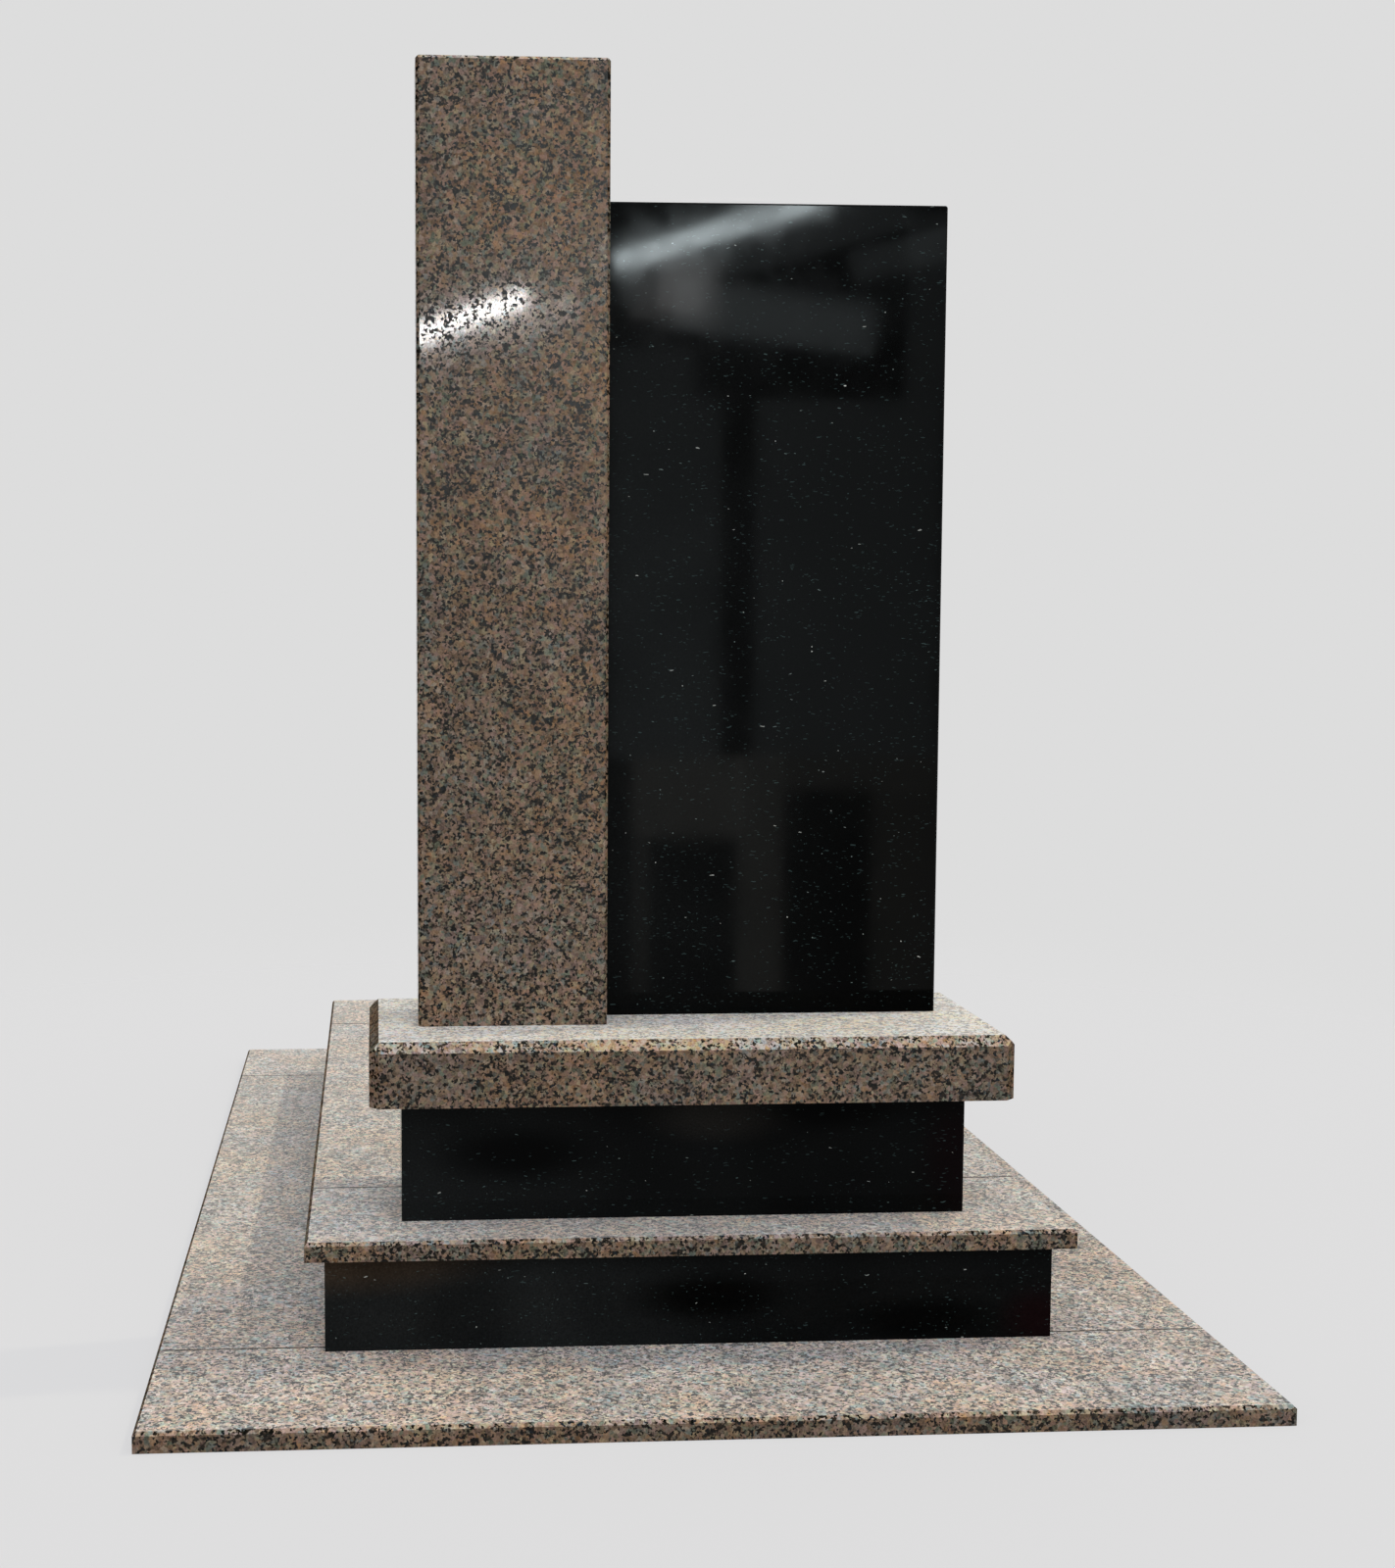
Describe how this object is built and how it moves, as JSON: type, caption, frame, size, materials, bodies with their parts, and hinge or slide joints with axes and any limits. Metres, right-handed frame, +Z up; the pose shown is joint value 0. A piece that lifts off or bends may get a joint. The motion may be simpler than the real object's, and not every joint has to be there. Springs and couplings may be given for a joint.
{
  "type": "military grave monument",
  "caption": "Granite grave monument: tall pillar and lower black stele on a bevelled base and block, at the head of a kerbed open bed with cover slabs and a slab surround.",
  "frame": {"origin": "centre of the plot on the ground, under the middle of the slab surround", "axes": "+Z up, -Y towards the front of the monument, +X to the right seen from the front"},
  "size_m": [1.66, 2.6, 2.015],
  "materials": {
    "brown_granite": "polished",
    "black_gabbro": "polished",
    "concrete": "cast"
  },
  "bodies": {
    "root": {"surround_front": "brown_granite", "surround_back": "brown_granite", "surround_left": "brown_granite", "surround_right": "brown_granite", "footing_front": "concrete", "footing_back": "concrete", "footing_left": "concrete", "footing_right": "concrete", "kerb_front": "black_gabbro", "kerb_back": "black_gabbro", "kerb_left": "black_gabbro", "kerb_right": "black_gabbro", "cover_front": "brown_granite", "cover_back": "brown_granite", "cover_left": "brown_granite", "cover_right": "brown_granite", "block": "black_gabbro", "base": "brown_granite", "pillar": "brown_granite", "stele": "black_gabbro"}
  },
  "joints": []
}
